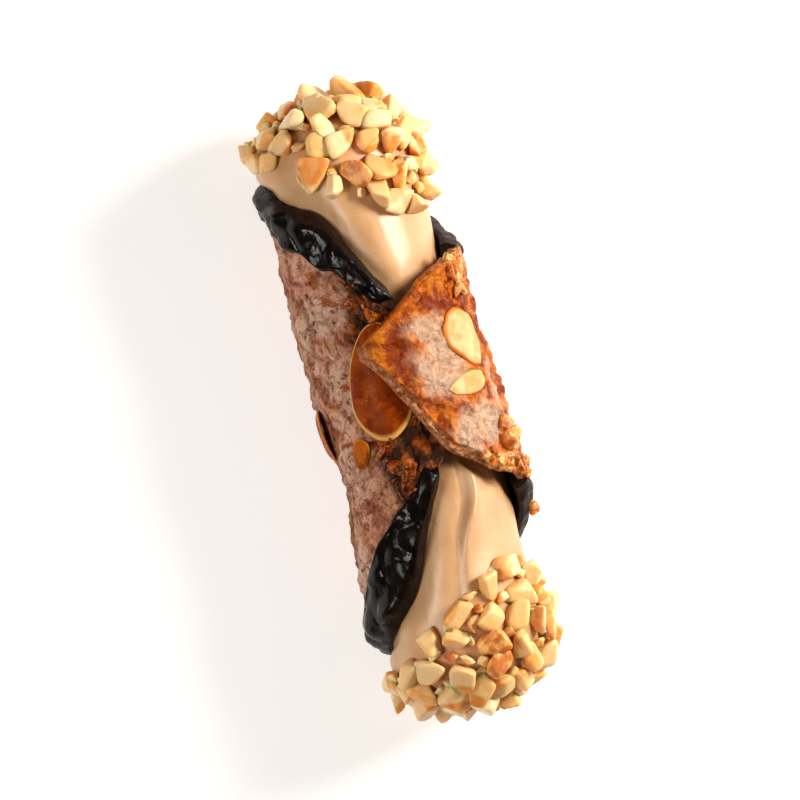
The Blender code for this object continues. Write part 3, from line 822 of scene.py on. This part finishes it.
def make_bits(brittle_paint, bit_paint):
    stones = Stones(4, 71)
    sheet_stones(stones, BRITTLE, 0.1, (0.0, 0.9), ((1.0, 1.7), (0.75, 1.1), (0.6, 0.9)), 0.14)
    stones.build("brittle_on_flap", brittle_paint, slot="almond_flake")
    stones = Stones(4, 72)
    sheet_stones(stones, BITS, -0.5, (0.0, 1.0), ((1.1, 1.7), (0.8, 1.1), (0.5, 0.7)), 0.05)
    stones.build("brittle_by_mouths", bit_paint, slot="almond_flake")
    stones = Stones(4, 74)
    for x, rolled, ahead, turned, *halves in SPLINTERS:
        middle = around(x, roll_radius(rolled, x) + 0.35, ROLL_START - rolled)
        end = around(x + ahead / 10, roll_radius(rolled, x) + 0.35, ROLL_START - rolled - turned / 10)
        up = unit(middle - (x, 0, AXIS_HEIGHT)) + 0.25 * any_way(stones.draw)
        stones.add(middle, unit(up), halves, along=unit(end - middle), roughness=0.12, toast=0.35)
    stones.build("almond_splinters", bit_paint, slot="almond_flake")
    stones = Stones(4, 73)
    middle = around(27.6, roll_radius(327, 25.0) - 0.6, ROLL_START - 327)
    stones.add(middle, unit(middle - (27.2, 0, AXIS_HEIGHT)), (1.9, 1.0, 0.8), roughness=0.2, toast=0.6)
    stones.build("crumb_on_chocolate", brittle_paint, slot="almond_flake")


# ---------------------------------------------------------------- almond flakes

# name: (x, rolled, turn of the long side, length, width, lift, dome)
FLAKES = {
    "flake_front": (-4.8, 67, 192, 23.5, 13.5, 0.0, 0.9),
    "flake_front_low": (8.2, 95, 20, 6.5, 4.4, 0.0, 0.1),
    "flake_flap": (-8.8, 366, -22, 12.5, 9.0, 0.0, 0.2),
    "flake_flap_low": (0.2, 374, 85, 9.0, 4.4, 0.0, 0.05),
    "flake_side": (2.8, 137, 8, 10.5, 7.5, 1.6, 0.2),
    "flake_back_left": (-27.0, 186, 35, 17.0, 10.5, 0.0, 0.5),
    "flake_back_right": (25.0, 176, -40, 16.5, 10.5, 0.0, 0.5),
    "flake_back_flap": (7.0, 290, 25, 17.0, 10.5, 0.0, 0.5),
}
FLAKE_THICKNESS = 0.8


def make_flake(name, number, materials):
    x, rolled, turn, length, width, lifted, dome = FLAKES[name]
    long_side = math.radians(turn)
    spokes, rings = 96, 26
    t = np.linspace(0, 2 * np.pi, spokes, endpoint=False)
    uneven = 0.12 if name.startswith("flake_flap") else 0.03
    wobble = 1 + uneven * ripples(spots(np.cos(t) * 2 + number * 5, np.sin(t) * 2), 1.0, 41)
    share = np.concatenate([np.linspace(0.03, 1, rings), np.linspace(1, 0.03, rings)])
    top = np.concatenate([np.ones(rings), np.zeros(rings)])
    bent = 1 - np.clip(share, 0, 1) ** 6
    along = share[:, None] * np.cos(t) * wobble * length / 2
    taper = 0.15 if name == "flake_front" else 0.22
    across = share[:, None] * np.sin(t) * (1 - taper * np.cos(t)) * wobble * width / 2
    at_x = x + along * math.cos(long_side) - across * math.sin(long_side)
    arc = along * math.sin(long_side) + across * math.cos(long_side)
    at_roll = rolled + np.degrees(arc / 18.0)
    base = roll_radius(at_roll, at_x) + swells(at_roll, at_x)
    rise = dome * (1 - share**2)[:, None] * np.ones_like(at_x)
    if name == "flake_front":
        rise = rise * ease((at_roll - 52) / 22)
    thickness = (0.45 if name.startswith("flake_flap") else FLAKE_THICKNESS) * (0.35 + 0.65 * bent)
    lift = 0.15 + top[:, None] * thickness[:, None] + rise
    lift = lift + lifted * np.maximum(0.0, (rolled - at_roll) / 13) ** 1.5
    lift = lift + 0.05 * ripples(spots(along, across), 2.2, 42 + number) * top[:, None]
    points = around(at_x, base + lift, ROLL_START - at_roll)
    wide = 0.55 + 0.45 * np.cos(t - (2.9 if name == "flake_front" else 2.0))
    rim = (1 - share)[:, None] * min(length, width) / 2 / (0.3 + wide)
    attributes = {"rim": rim, "top": top[:, None] * np.ones_like(at_x), "tone": np.full(at_x.shape, number / 7)}
    tube(name + "_toasted", points, attributes, materials[number], node=[name], slot="almond_flake")


# ---------------------------------------------------------------- materials


def tint(red, green, blue):
    """A colour given as it looks on screen, 0 to 255."""
    linear = [c / 12.92 if c <= 0.04045 else ((c + 0.055) / 1.055) ** 2.4 for c in (red / 255, green / 255, blue / 255)]
    return (*linear, 1.0)


class Paint:
    """A material's nodes. Each way of adding one gives its output."""

    def __init__(self, name, **settings):
        self.material = bpy.data.materials.new(name)
        self.material.use_nodes = True
        self.tree = self.material.node_tree
        self.shader = self.tree.nodes["Principled BSDF"]
        self.place = self.node("ShaderNodeTexCoord").outputs["Object"]
        for key, value in settings.items():
            self.shader.inputs[key.replace("_", " ")].default_value = value

    def node(self, kind, inputs=None, **settings):
        made = self.tree.nodes.new(kind)
        for key, value in settings.items():
            setattr(made, key, value)
        for key, value in (inputs or {}).items():
            self.put(made.inputs[key], value)
        return made

    def put(self, socket, value):
        if isinstance(value, bpy.types.NodeSocket):
            self.tree.links.new(value, socket)
        else:
            socket.default_value = value

    def set(self, name, value):
        self.put(self.shader.inputs[name], value)

    def value(self, name):
        return self.node("ShaderNodeAttribute", attribute_name=name).outputs["Fac"]

    def maths(self, operation, *values):
        return self.node("ShaderNodeMath", dict(enumerate(values)), operation=operation).outputs[0]

    def span(self, value, low, high, to_low=0.0, to_high=1.0):
        inputs = {"Value": value, "From Min": low, "From Max": high, "To Min": to_low, "To Max": to_high}
        return self.node("ShaderNodeMapRange", inputs, interpolation_type="SMOOTHSTEP").outputs[0]

    def noise(self, size, detail=3.0, roughness=0.55, distortion=0.0, shift=0.0):
        place = self.node("ShaderNodeMapping", {"Vector": self.place, "Location": (shift, shift, shift)}).outputs[0]
        inputs = {"Vector": place, "Scale": 1000 / size, "Detail": detail, "Roughness": roughness}
        inputs["Distortion"] = distortion
        return self.node("ShaderNodeTexNoise", inputs).outputs[0]

    def cells(self, size, feature="F1", randomness=1.0):
        inputs = {"Vector": self.place, "Scale": 1000 / size, "Randomness": randomness}
        return self.node("ShaderNodeTexVoronoi", inputs, feature=feature)

    def mix(self, share, first, second):
        made = self.node("ShaderNodeMix", data_type="RGBA")
        self.put(made.inputs[0], share)
        self.put(made.inputs[6], first)
        self.put(made.inputs[7], second)
        return made.outputs[2]

    def bump(self, height, distance, normal=None):
        inputs = {"Height": height, "Distance": distance * MM, "Strength": 1.0}
        if normal is not None:
            inputs["Normal"] = normal
        return self.node("ShaderNodeBump", inputs).outputs[0]


def wafer_material():
    p = Paint("wafer_baked", IOR=1.45, Specular_IOR_Level=0.55, Specular_Tint=(1.0, 0.82, 0.62, 1.0))
    keys = ("flap", "chunk", "pits", "cut", "rim", "wet", "frost", "deep", "painted_side_shade")
    flap, chunk, pits, cut, rim, wet, frosted, deep, painted_side_shade = (p.value(key) for key in keys)
    broad = p.noise(11, 3, 0.55, shift=0.01)
    mid = p.noise(3.6, 4, 0.6, 0.4, shift=0.02)
    fine = p.noise(1.1, 5, 0.7, 0.3, shift=0.03)
    grain = p.noise(0.45, 3, 0.65, shift=0.04)
    # The open part: matte, pinkish brown, with pale dust and painted sheen, painted shade in its pits and low spots,
    # and amber patches
    cloudy = p.noise(8, 4, 0.6, 0.3, shift=0.07)
    dull = p.mix(p.span(mid, 0.39, 0.61), tint(172, 98, 68), tint(244, 178, 146))
    dull = p.mix(p.span(broad, 0.34, 0.5, 0.8, 0.0), dull, tint(150, 82, 40))
    dull = p.mix(p.span(chunk, 0.2, 0.6, 0.0, 0.75), dull, tint(226, 172, 128))
    # Pale pinkish patches: partly dust, partly a painted sheen of the lamps, strongest where the fine grain stands up
    dust_and_sheen_level = p.maths("ADD", p.maths("MULTIPLY", cloudy, 1.5), p.maths("MULTIPLY", fine, 0.8))
    dust_and_sheen = p.span(dust_and_sheen_level, 1.02, 1.36, 0.0, 0.88)
    dull = p.mix(dust_and_sheen, dull, tint(252, 212, 190))
    amber = p.span(p.noise(6.5, 4, 0.6, 0.8, shift=0.08), 0.56, 0.64, 0.0, 0.9)
    dull = p.mix(amber, dull, tint(192, 104, 30))
    # Painted shade: darker in the low spots of the fine grain and in the pits, cracks and hollows
    dull = p.mix(p.span(fine, 0.45, 0.35, 0.0, 0.85), dull, tint(104, 48, 24))
    dull = p.mix(p.maths("MULTIPLY", pits, 0.75), dull, tint(104, 50, 30))
    # The flap: amber glaze, with pale patches where sugar has set
    glaze = p.mix(p.span(mid, 0.4, 0.6), tint(136, 52, 4), tint(212, 118, 24))
    glaze = p.mix(p.span(chunk, 0.2, 1.0, 0.0, 0.7), glaze, tint(228, 142, 38))
    ragged = p.maths("MULTIPLY_ADD", p.noise(5, 4, 0.6, 0.5, shift=0.05), 1.1, -0.55)
    glaze = p.mix(p.span(p.maths("ADD", deep, ragged), 0.25, 0.6, 0.0, 0.85), glaze, tint(138, 46, 0))
    frost_patch = p.span(p.maths("ADD", frosted, ragged), 0.15, 0.7)
    frost_grain = p.span(p.noise(1.3, 5, 0.7, 0.4, shift=0.06), 0.3, 0.52)
    frost = p.maths("MULTIPLY", frost_patch, p.maths("MULTIPLY_ADD", frost_grain, 0.7, 0.3))
    # Painted shade: the glaze darker where the fine grain is low
    glaze = p.mix(p.span(fine, 0.4, 0.3, 0.0, 0.7), glaze, tint(120, 40, 0))
    glaze = p.mix(p.maths("MULTIPLY", frost, 0.76), glaze, tint(255, 226, 200))
    glaze = p.mix(p.span(rim, 1.2, 0.2, 0.0, 0.45), glaze, tint(200, 108, 22))
    seam = p.mix(p.span(mid, 0.42, 0.64), tint(64, 24, 4), tint(178, 92, 22))
    # Painted shade in the pits and hollows along the seam
    seam = p.mix(p.maths("MULTIPLY", pits, 0.9), seam, tint(34, 12, 5))
    seam = p.mix(p.maths("MULTIPLY", deep, p.span(mid, 0.62, 0.46, 0.3, 1.0)), seam, tint(38, 13, 4))
    dull = p.mix(wet, dull, seam)
    # Painted shade over the wafer's sides and underside
    dull = p.mix(painted_side_shade, dull, tint(118, 64, 36))
    colour = p.mix(flap, dull, glaze)
    torn = p.mix(p.span(fine, 0.4, 0.6), tint(160, 96, 56), tint(212, 154, 110))
    torn = p.mix(p.span(p.noise(1.6, 3, 0.6, shift=0.09), 0.46, 0.34, 0.0, 0.7), torn, tint(118, 56, 22))
    colour = p.mix(cut, colour, torn)
    p.set("Base Color", colour)
    rough = p.span(fine, 0.3, 0.7, 0.08, 0.18)
    rough = p.maths("ADD", rough, p.maths("MULTIPLY", frost, 0.14))
    dull_rough = p.span(fine, 0.3, 0.7, 0.42, 0.62)
    difference = p.maths("SUBTRACT", rough, dull_rough)
    rough = p.maths("MULTIPLY_ADD", p.maths("MAXIMUM", flap, wet), difference, dull_rough)
    rough = p.maths("MAXIMUM", rough, p.maths("MULTIPLY", cut, 0.6))
    p.set("Roughness", rough)
    glassy = p.maths("MULTIPLY", p.maths("MAXIMUM", flap, wet), p.maths("SUBTRACT", 1.0, frost))
    coarse = p.maths("ADD", p.maths("MULTIPLY", fine, 1.3), p.maths("MULTIPLY", grain, 0.4))
    height = p.maths("MULTIPLY", coarse, p.maths("MULTIPLY_ADD", glassy, -0.72, 1.0))
    height = p.maths("ADD", height, p.maths("MULTIPLY", mid, p.maths("MULTIPLY_ADD", glassy, 1.5, 0.9)))
    p.set("Normal", p.bump(height, 0.9))
    return p.material


def brittle_material(name, dark, light, pale, roughness):
    """Baked nut pieces: rough golden breaks, and glazed sides."""
    p = Paint(name, IOR=1.47)
    toast, skin_and_shade = p.value("toast"), p.value("skin_and_shade")
    mid = p.noise(1.8, 4, 0.6)
    fine = p.noise(0.5, 3, 0.65)
    colour = p.mix(p.span(mid, 0.35, 0.65), dark, light)
    colour = p.mix(p.maths("MULTIPLY", p.span(fine, 0.4, 0.65), p.span(skin_and_shade, 0.6, 0.1, 0.0, 0.9)), colour, pale)
    colour = p.mix(p.span(toast, 0.55, 1.0, 0.0, 0.6), colour, dark)
    colour = p.mix(p.span(fine, 0.36, 0.25, 0.0, 0.6), colour, tint(84, 34, 6))
    p.set("Base Color", colour)
    p.set("Roughness", p.span(fine, 0.3, 0.7, *roughness))
    p.shader.inputs["Subsurface Weight"].default_value = 0.15
    p.shader.inputs["Subsurface Radius"].default_value = (1.0, 0.45, 0.15)
    p.shader.inputs["Subsurface Scale"].default_value = 0.0008
    p.set("Normal", p.bump(p.maths("ADD", mid, p.maths("MULTIPLY", fine, 0.4)), 0.35))
    return p.material


def chocolate_material():
    p = Paint("chocolate_dark", IOR=1.5, Specular_IOR_Level=0.24)
    lip = p.value("lip")
    mid = p.noise(3.0, 3, 0.5)
    fine = p.noise(0.8, 3, 0.5)
    outside = p.mix(p.span(mid, 0.35, 0.65), tint(12, 7, 5), tint(26, 15, 11))
    inside = p.mix(p.span(mid, 0.35, 0.65), tint(28, 16, 12), tint(46, 29, 23))
    p.set("Base Color", p.mix(lip, outside, inside))
    gloss = p.span(p.noise(5, 2, 0.5), 0.35, 0.65, 0.14, 0.28)
    p.set("Roughness", p.maths("MULTIPLY_ADD", lip, 0.24, gloss))
    height = p.maths("ADD", p.maths("MULTIPLY", mid, 0.8), p.maths("MULTIPLY", fine, 0.06))
    p.set("Normal", p.bump(height, 0.35))
    return p.material


def cream_material():
    p = Paint("cream_hazelnut", IOR=1.45, Specular_IOR_Level=0.5, Coat_Weight=0.85, Coat_Roughness=0.39)
    broad = p.noise(9, 2, 0.5)
    fine = p.noise(0.7, 3, 0.6)
    colour = p.mix(p.span(broad, 0.3, 0.7), tint(206, 162, 116), tint(218, 178, 134))
    specks = p.span(p.cells(1.7).outputs["Distance"], 0.1, 0.04, 0.0, 0.35)
    colour = p.mix(specks, colour, tint(170, 116, 66))
    p.set("Base Color", colour)
    p.set("Roughness", p.span(fine, 0.3, 0.7, 0.4, 0.5))
    p.shader.inputs["Subsurface Weight"].default_value = 0.25
    p.shader.inputs["Subsurface Radius"].default_value = (1.0, 0.55, 0.3)
    p.shader.inputs["Subsurface Scale"].default_value = 0.0015
    p.set("Normal", p.bump(p.noise(1.6, 4, 0.55), 0.12))
    return p.material


def nut_material(name):
    p = Paint(name + "_pieces", IOR=1.47)
    tone, toast, skin_and_shade = (p.value(key) for key in ("tone", "toast", "skin_and_shade"))
    mid = p.noise(2.4, 3, 0.55)
    fine = p.noise(0.6, 3, 0.6)
    flesh = p.mix(tone, tint(236, 198, 136), tint(250, 226, 190))
    flesh = p.mix(p.span(mid, 0.4, 0.7, 0.0, 0.4), flesh, tint(244, 200, 122))
    golden = p.mix(p.span(fine, 0.3, 0.7), tint(226, 146, 50), tint(240, 178, 84))
    golden = p.mix(p.span(toast, 0.75, 1.0, 0.0, 0.6), golden, tint(206, 120, 40))
    # Golden over the skin and over the painted shade on the undersides
    share = p.maths("MULTIPLY", p.span(skin_and_shade, 0.05, 1.0), p.span(toast, 0.2, 0.7, 0.35, 0.9))
    share = p.maths("MULTIPLY", share, p.span(mid, 0.3, 0.6, 0.55, 1.0))
    colour = p.mix(share, flesh, golden)
    baked = p.span(toast, 0.93, 0.95)
    crumbly = p.mix(p.span(mid, 0.4, 0.6), tint(204, 128, 58), tint(240, 190, 122))
    colour = p.mix(baked, colour, crumbly)
    p.set("Base Color", colour)
    p.set("Roughness", p.span(fine, 0.3, 0.7, 0.34, 0.5))
    p.shader.inputs["Subsurface Weight"].default_value = 0.7
    p.shader.inputs["Subsurface Radius"].default_value = (1.0, 0.6, 0.25)
    p.shader.inputs["Subsurface Scale"].default_value = 0.002
    height = p.maths("ADD", p.maths("MULTIPLY", mid, 0.7), p.maths("MULTIPLY", fine, 0.22))
    p.set("Normal", p.bump(height, 0.22))
    return p.material


def flake_material(name, dark, light, rim_colour, rim_width):
    p = Paint(name, IOR=1.47, Specular_IOR_Level=0.22, Specular_Tint=(1.0, 0.8, 0.6, 1.0))
    rim = p.value("rim")
    mid = p.noise(3.2, 3, 0.55, 0.5)
    fine = p.noise(0.7, 3, 0.6)
    colour = p.mix(p.span(mid, 0.35, 0.65), dark, light)
    colour = p.mix(p.span(rim, rim_width, 0.15), colour, rim_colour)
    sugar = p.cells(1.5).outputs["Distance"]
    colour = p.mix(p.span(sugar, 0.1, 0.05, 0.0, 0.7), colour, rim_colour)
    p.set("Base Color", colour)
    p.set("Roughness", p.span(fine, 0.3, 0.7, 0.34, 0.55))
    p.shader.inputs["Subsurface Weight"].default_value = 0.2
    p.shader.inputs["Subsurface Radius"].default_value = (1.0, 0.4, 0.15)
    p.shader.inputs["Subsurface Scale"].default_value = 0.001
    p.set("Normal", p.bump(p.maths("ADD", mid, p.maths("MULTIPLY", fine, 0.15)), 0.25))
    return p.material


def floor_material():
    p = Paint("floor_plain", Roughness=0.9)
    p.shader.inputs["Emission Color"].default_value = (1.0, 1.0, 1.0, 1.0)
    p.shader.inputs["Emission Strength"].default_value = 0.41
    p.set("Base Color", p.mix(p.noise(300, 2, 0.5), (0.84, 0.84, 0.84, 1), (0.87, 0.87, 0.87, 1)))
    return p.material


# ---------------------------------------------------------------- stage


def lamp(name, place, size, power, colour):
    data = bpy.data.lights.new(name, "AREA")
    data.shape = "RECTANGLE"
    data.size, data.size_y = size
    data.energy = power
    data.color = colour
    obj = bpy.data.objects.new(name, data)
    bpy.context.scene.collection.objects.link(obj)
    obj.location = place
    obj.rotation_euler = Vector(place).to_track_quat("Z", "Y").to_euler()
    return obj


def make_stage():
    scene = bpy.context.scene
    mesh = bpy.data.meshes.new("floor")
    half = 3.0
    mesh.from_pydata([(-half, -half, 0), (half, -half, 0), (half, half, 0), (-half, half, 0)], [], [(0, 1, 2, 3)])
    mesh.materials.append(floor_material())
    floor = bpy.data.objects.new("floor", mesh)
    scene.collection.objects.link(floor)
    lamp("key", (-0.08, 0.43, 0.27), (0.18, 0.18), 3.45, (1.0, 0.96, 0.9))
    lamp("fill", (0.02, -0.31, 0.38), (0.2, 0.16), 1.2, (1.0, 0.98, 0.96))
    lamp("top", (-0.4, 0.0, 0.5), (0.3, 0.3), 0.12, (1.0, 0.96, 0.9))
    world = bpy.data.worlds.new("studio")
    world.use_nodes = True
    world.node_tree.nodes["Background"].inputs["Color"].default_value = (1.0, 0.8, 0.6, 1)
    world.node_tree.nodes["Background"].inputs["Strength"].default_value = 0.14
    scene.world = world
    scene.view_settings.view_transform = "Standard"
    scene.view_settings.gamma = 0.85


def make_camera():
    tilt = math.radians(15.5)  # of the roll from upright in the picture
    right = np.array((math.sin(tilt), math.cos(tilt), 0.0))
    up = np.array((-math.cos(tilt), math.sin(tilt), 0.0))
    distance, picture = 900.0, 160.0
    data = bpy.data.cameras.new("camera")
    data.sensor_width = 36.0
    data.lens = data.sensor_width * distance / picture
    camera = bpy.data.objects.new("camera", data)
    aim = np.array(AXIS_PLACE) - 0.94 * right - 0.04 * up + (0.0, 0.0, AXIS_HEIGHT + distance)
    camera.location = aim * MM
    camera.rotation_euler = (0.0, 0.0, math.pi / 2 - tilt)
    bpy.context.scene.collection.objects.link(camera)
    bpy.context.scene.camera = camera


def main():
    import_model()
    make_camera()
    make_stage()
    make_wafer(wafer_material())
    make_coats(chocolate_material())
    make_cream(cream_material())
    for name, side in (("nuts_left", -1), ("nuts_right", 1)):
        make_nuts(name, side, nut_material(name))
    amber = flake_material("flake_amber", tint(134, 50, 0), tint(170, 80, 0), tint(240, 190, 110), 0.7)
    pale = flake_material("flake_pale", tint(206, 164, 108), tint(232, 196, 148), tint(200, 116, 34), 0.7)
    cream_white = flake_material("flake_white", tint(212, 168, 112), tint(234, 198, 150), tint(232, 190, 132), 0.5)
    olive = flake_material("flake_glazed", tint(150, 84, 24), tint(206, 142, 62), tint(232, 186, 100), 1.0)
    brown = flake_material("flake_brown", tint(128, 54, 16), tint(190, 98, 34), tint(214, 142, 66), 1.2)
    amber_low = flake_material("flake_amber_low", tint(138, 60, 4), tint(190, 106, 20), tint(208, 138, 54), 0.35)
    materials = [amber, amber_low, pale, cream_white, brown, olive, olive, olive]
    for number, name in enumerate(FLAKES):
        make_flake(name, number, materials)
    make_bits(
        brittle_material("brittle_golden", tint(158, 80, 18), tint(228, 152, 62), tint(250, 212, 146), (0.22, 0.45)),
        brittle_material("brittle_dark", tint(54, 20, 4), tint(150, 66, 8), tint(206, 122, 46), (0.04, 0.14)),
    )


main()
